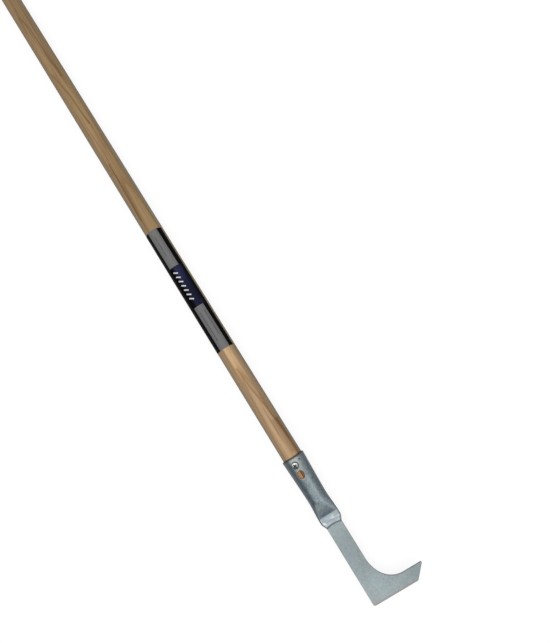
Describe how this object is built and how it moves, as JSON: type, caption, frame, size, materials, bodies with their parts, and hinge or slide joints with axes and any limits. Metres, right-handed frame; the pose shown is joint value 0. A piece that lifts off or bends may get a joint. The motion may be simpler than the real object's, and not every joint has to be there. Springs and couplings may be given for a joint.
{
  "type": "crack weeder",
  "caption": "Long-handled crack weeder: a flat hooked steel blade in a pressed sheet socket, pinned by a screw to a round wooden shaft with a plain label.",
  "frame": {"origin": "on the shaft's axis at the socket's mouth, where the shaft's taper starts, 0.5 mm out of the socket's rim", "axes": "+X along the shaft towards its free end, +Z out of the blade's upper face on the side of the screw and label, hook towards -Y"},
  "size_m": [1.5392, 0.086, 0.035],
  "materials": {
    "wood": "smooth sanded ash, clear oiled",
    "sheet_steel": "dull zinc-plated pressed sheet",
    "blade_steel": "dull zinc-plated flat steel",
    "screw_steel": "bright zinc-plated",
    "label": "satin printed film, black with grey panels"
  },
  "bodies": {
    "root": {"shaft": "wood", "socket": "sheet_steel", "blade": "blade_steel", "screw": "screw_steel", "label": "label"}
  },
  "joints": []
}
